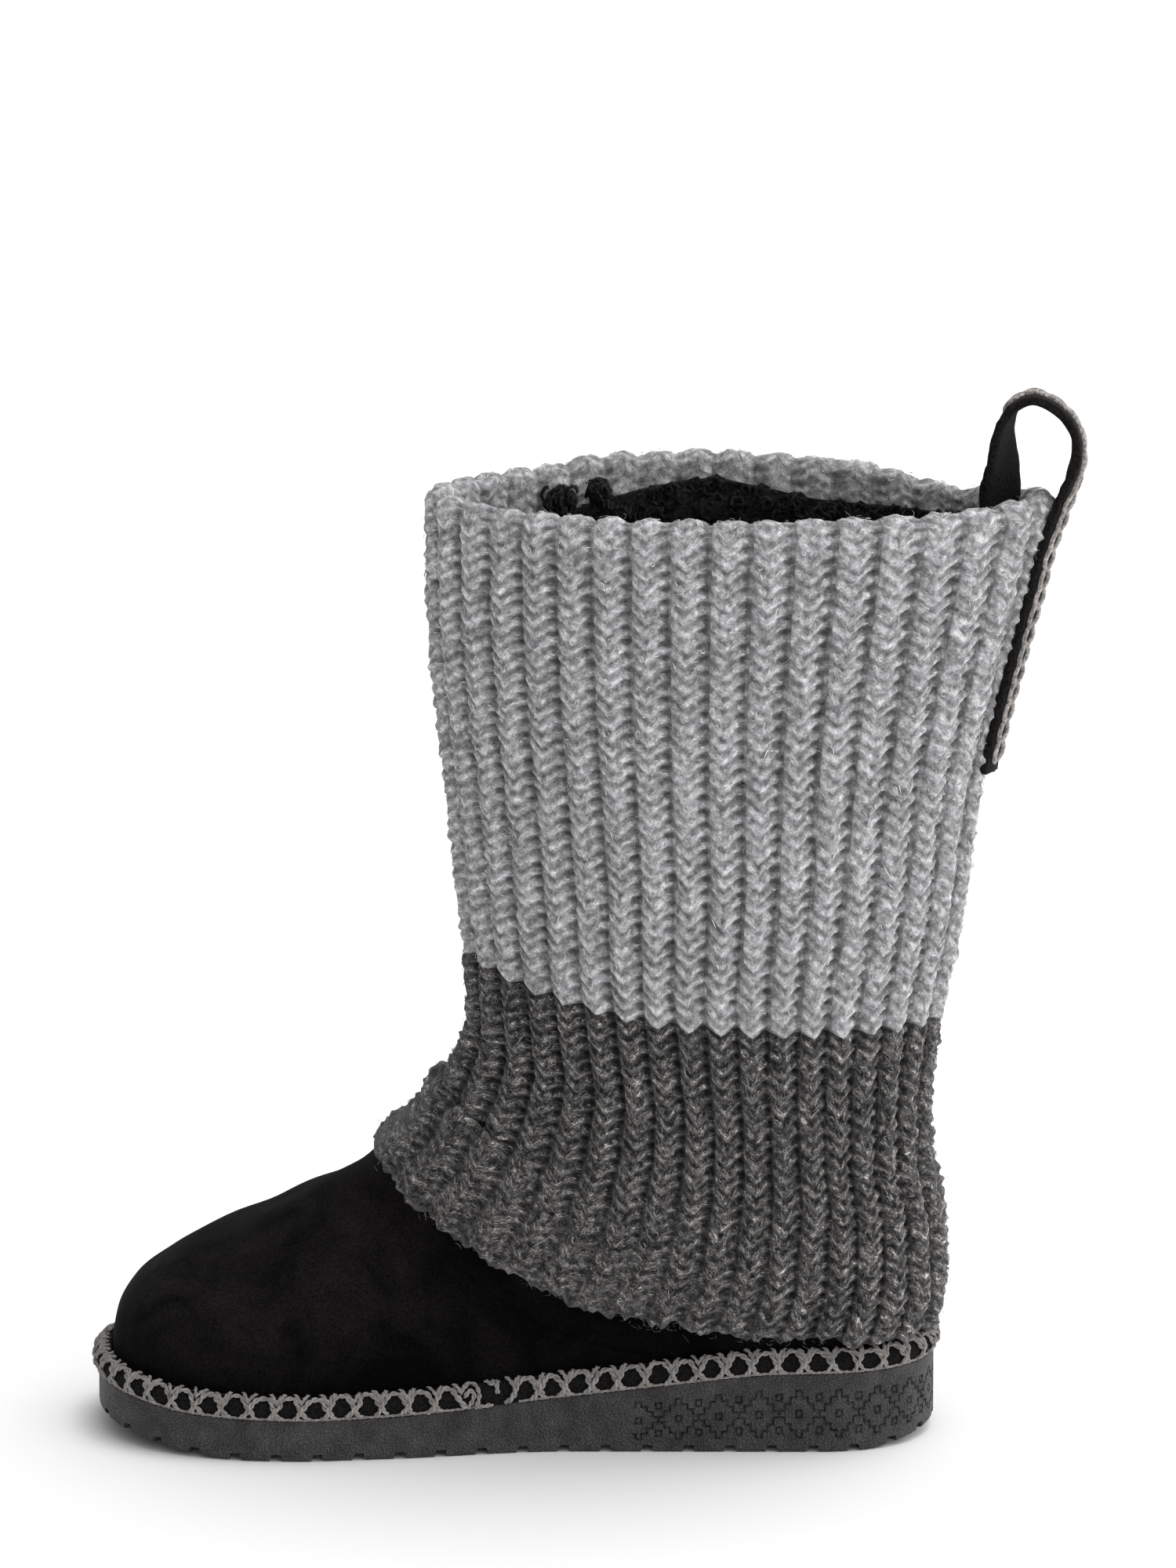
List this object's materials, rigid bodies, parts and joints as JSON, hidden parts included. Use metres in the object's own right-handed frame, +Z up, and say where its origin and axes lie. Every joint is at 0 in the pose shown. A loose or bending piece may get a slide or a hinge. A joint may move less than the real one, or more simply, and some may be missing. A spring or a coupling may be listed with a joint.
{
  "type": "winter_boot",
  "caption": "Left pull-on winter boot with a black suede foot, two-tone grey ribbed knit shaft, laced welt trim, pull loop and dark rubber wedge sole",
  "frame": {"origin": "on the floor plane under the centre of the heel", "axes": "+X towards the toe, +Y towards the outer (lateral) side, +Z up"},
  "size_m": [0.3227, 0.1033, 0.3508],
  "materials": {
    "sole_rubber": "matt, pebbled sides",
    "insole_felt": "felted",
    "black_suede": "napped",
    "trim_yarn": "yarn laced over tape",
    "grey_knit": "brushed heather wool rib",
    "loop_tape": "napped"
  },
  "bodies": {
    "root": {"outsole": "sole_rubber", "insole": "insole_felt", "upper": "black_suede", "welt_trim": "trim_yarn", "shaft": "grey_knit", "pull_loop": "loop_tape"}
  },
  "joints": []
}
